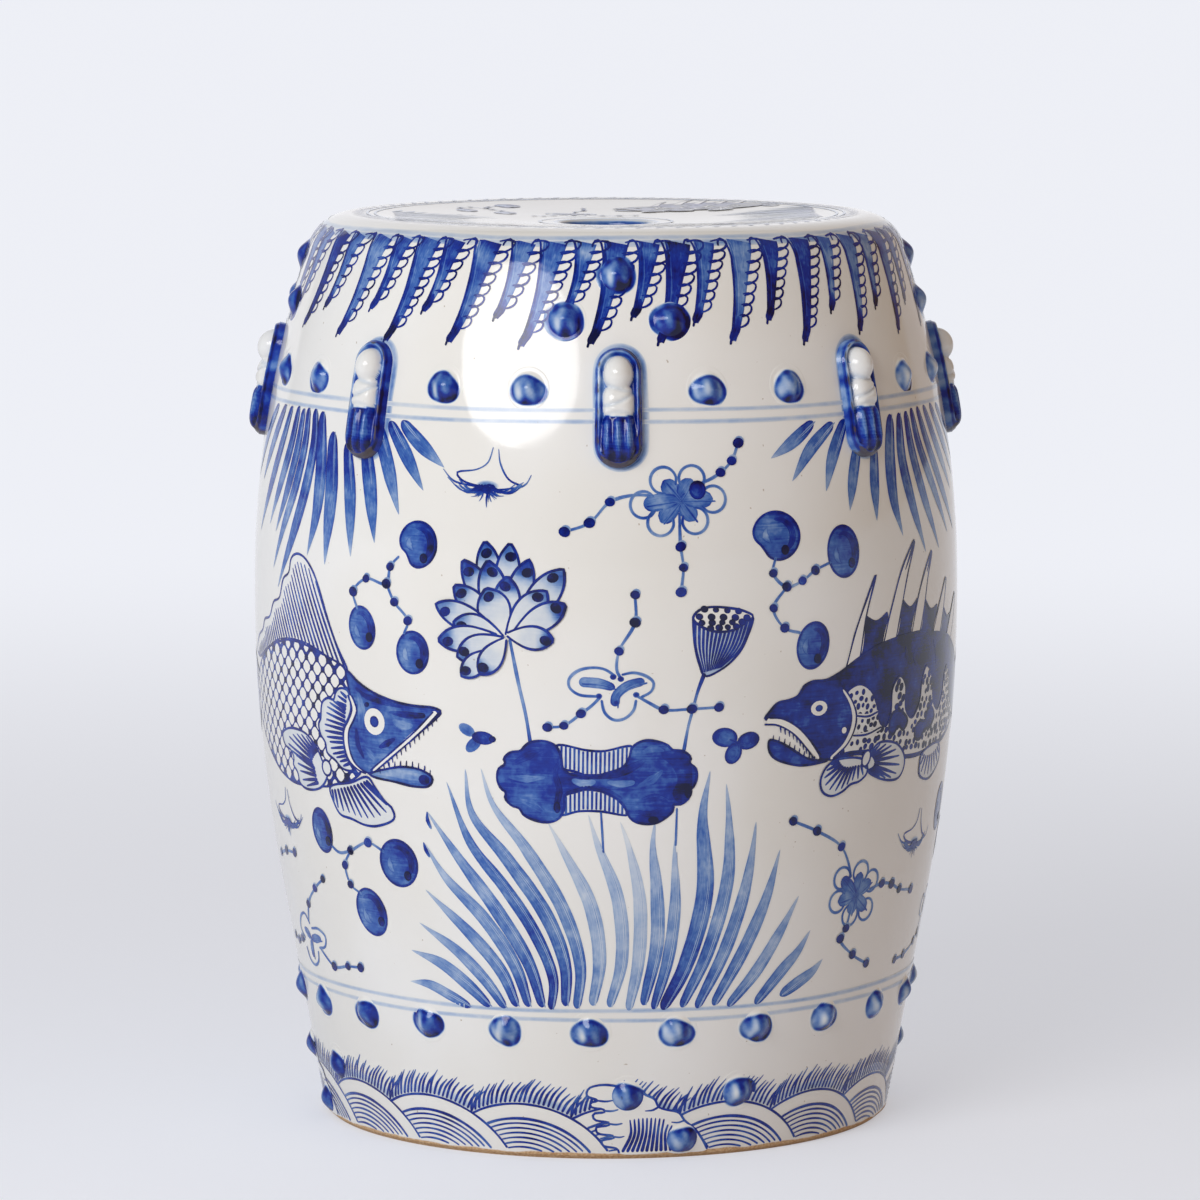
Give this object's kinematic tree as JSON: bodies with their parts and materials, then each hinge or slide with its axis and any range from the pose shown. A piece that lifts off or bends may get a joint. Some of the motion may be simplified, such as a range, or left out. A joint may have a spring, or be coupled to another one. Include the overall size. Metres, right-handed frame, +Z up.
{
  "type": "garden stool",
  "caption": "Drum-shaped ceramic garden stool with a dished seat, a finger hole, moulded lugs and rows of domed drum nails; hollow and open below, for sitting on or as a side table.",
  "frame": {"origin": "middle of the foot, on the floor", "axes": "+Z up along the drum's axis; the front, with a lug on its middle line, faces -Y"},
  "size_m": [0.3614, 0.3614, 0.457],
  "materials": {
    "painted_glaze": "cream-white gloss glaze with cobalt painting",
    "sprig_glaze": "gloss glaze over cobalt wash",
    "foot_clay": "glazed above, bare fired clay at the lower edge"
  },
  "bodies": {
    "root": {"upper_barrel": "painted_glaze", "lower_barrel": "painted_glaze", "seat_slab": "painted_glaze", "foot_ring": "foot_clay", "lug_1": "sprig_glaze", "lug_2": "sprig_glaze", "lug_3": "sprig_glaze", "lug_4": "sprig_glaze", "lug_5": "sprig_glaze", "lug_6": "sprig_glaze", "lug_7": "sprig_glaze", "lug_8": "sprig_glaze", "upper_row_nails": "sprig_glaze", "lower_row_nails": "sprig_glaze", "shoulder_nails": "sprig_glaze", "foot_nails": "sprig_glaze"}
  },
  "joints": []
}
